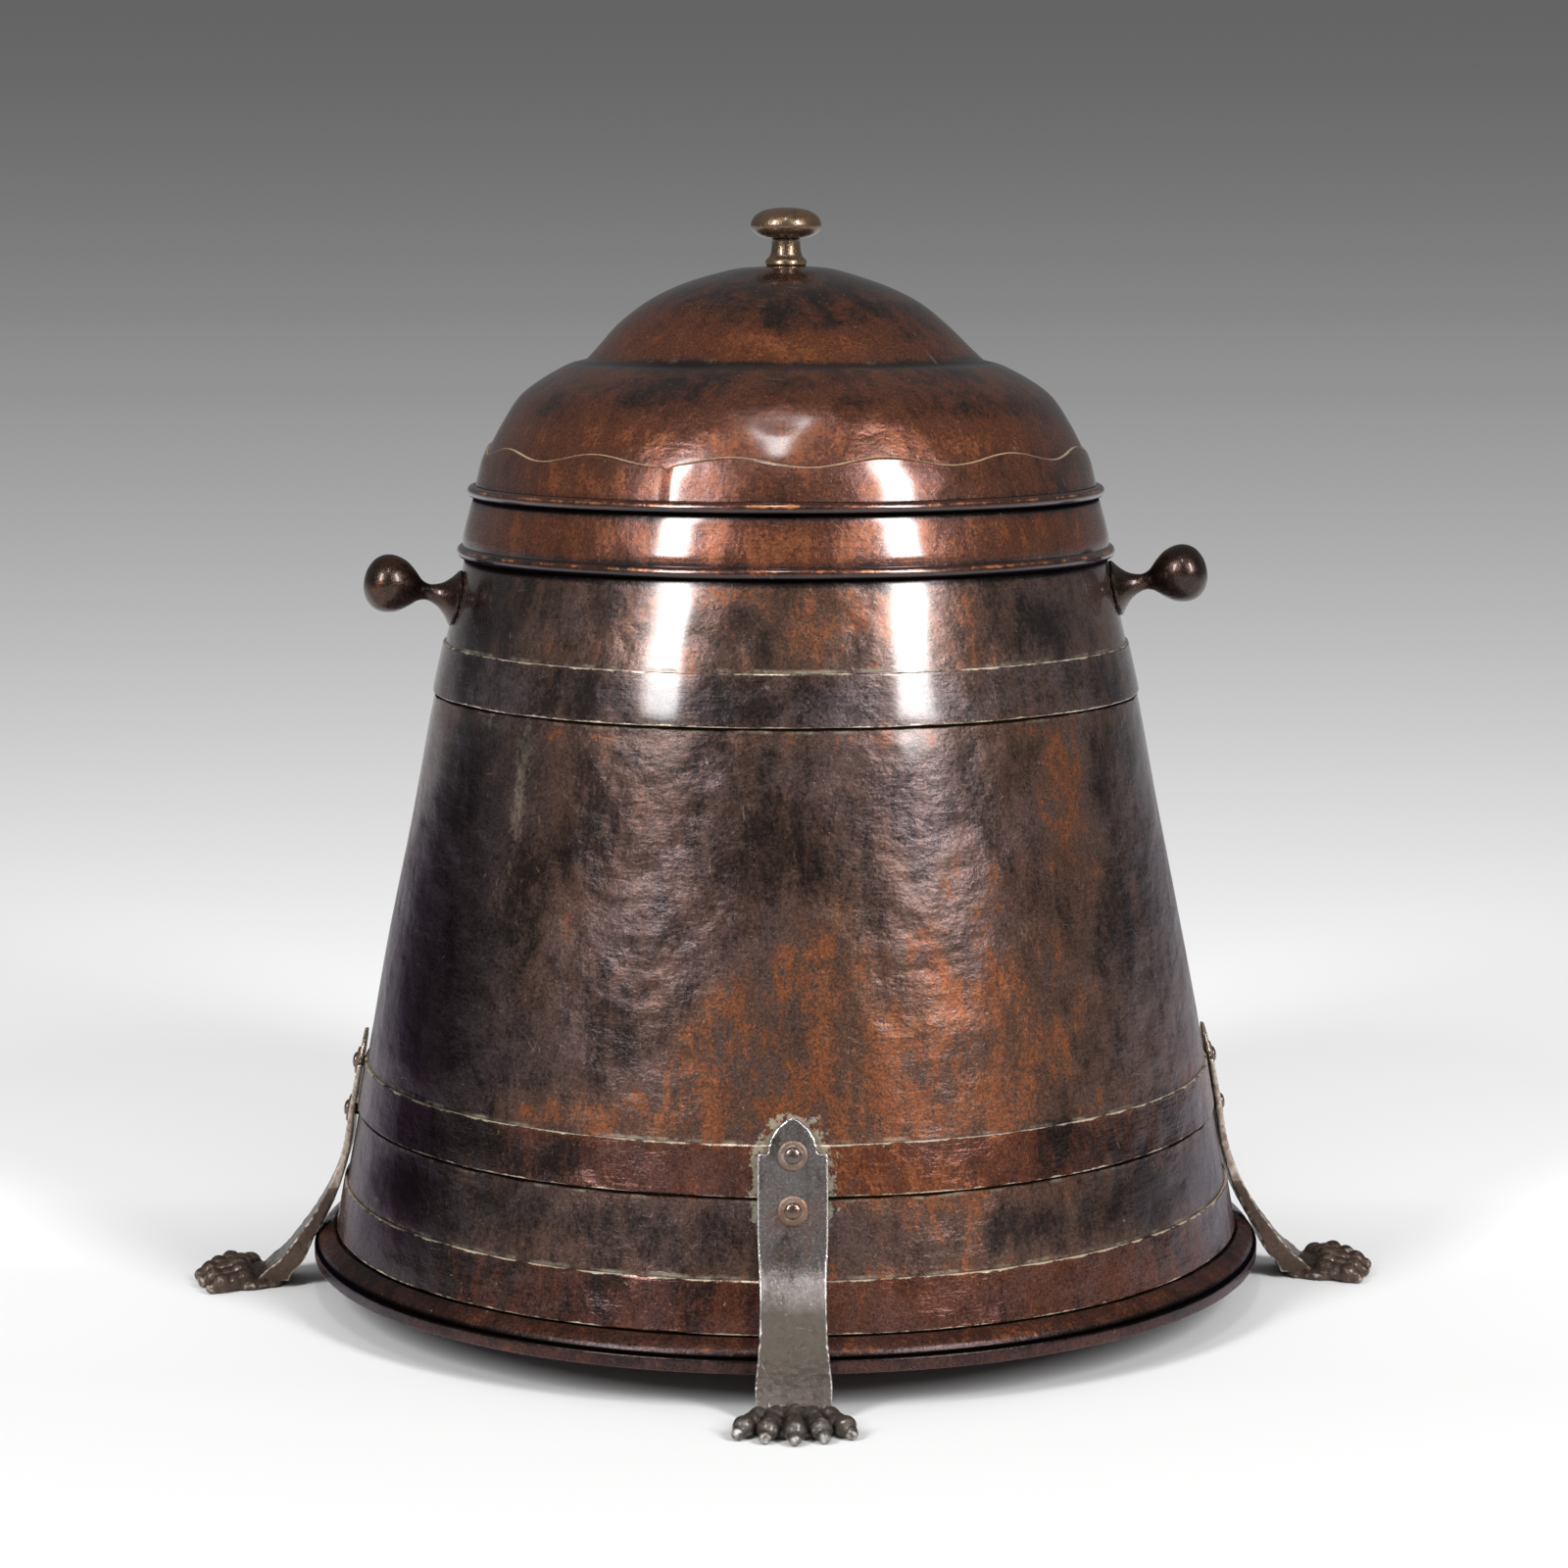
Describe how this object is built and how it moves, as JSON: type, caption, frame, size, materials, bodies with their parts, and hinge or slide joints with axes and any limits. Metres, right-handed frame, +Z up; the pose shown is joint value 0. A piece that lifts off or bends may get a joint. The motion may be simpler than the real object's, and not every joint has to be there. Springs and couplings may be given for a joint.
{
  "type": "lidded coal scuttle",
  "caption": "Conical coal scuttle in seamed sheet copper on cast lion's-paw feet, with ball handles and a loose domed lid with a wavy-edged collar and turned knob.",
  "frame": {"origin": "on the floor under the scuttle's vertical axis, which is the centre of its box", "axes": "+Z up along the axis, -Y to the front paw that faces the viewer, +X to the viewer's right through the side paws"},
  "size_m": [0.5418, 0.5172, 0.4894],
  "materials": {
    "body_copper": "old copper sheet, dark brown patina rubbed through to copper, satin",
    "band_copper": "copper trim with a thinner brown patina and bright worn edges, satin",
    "foot_bronze": "cast brass gone grey-brown, rough between the toes and polished on the high spots",
    "handle_bronze": "turned brass, nearly black-brown patina, semi-gloss",
    "knob_brass": "turned brass, brown-gold patina, semi-gloss",
    "rivet_steel": "steel rivet heads, dark and polished by handling",
    "washer_copper": "pinkish copper washers, satin"
  },
  "bodies": {
    "bin": {"body_wall": "body_copper", "base_ring": "body_copper", "base_collar": "body_copper", "bottom_plate": "body_copper", "bottom_band": "body_copper", "upper_band": "band_copper", "lower_band": "band_copper", "rim_wire": "band_copper", "handle_washer_left": "band_copper", "handle_washer_right": "band_copper", "foot_front": "foot_bronze", "foot_right": "foot_bronze", "foot_back": "foot_bronze", "foot_left": "foot_bronze", "handle_left": "handle_bronze", "handle_right": "handle_bronze", "rivet_front_upper": "rivet_steel", "rivet_front_lower": "rivet_steel", "rivet_right_upper": "rivet_steel", "rivet_right_lower": "rivet_steel", "rivet_back_upper": "rivet_steel", "rivet_back_lower": "rivet_steel", "rivet_left_upper": "rivet_steel", "rivet_left_lower": "rivet_steel", "washer_front_upper": "washer_copper", "washer_front_lower": "washer_copper", "washer_right_upper": "washer_copper", "washer_right_lower": "washer_copper", "washer_back_upper": "washer_copper", "washer_back_lower": "washer_copper", "washer_left_upper": "washer_copper", "washer_left_lower": "washer_copper"},
    "lid": {"lid_dome": "body_copper", "lid_wavy_collar": "body_copper", "lid_skirt": "body_copper", "lid_bead": "band_copper", "lid_rim_bead": "band_copper", "knob": "knob_brass", "knob_washer": "band_copper"}
  },
  "joints": [
    {"name": "lid_lift", "type": "slide", "parent": "bin", "child": "lid", "axis": [0, 0, 1], "range_m": [0, 0.3]}
  ]
}
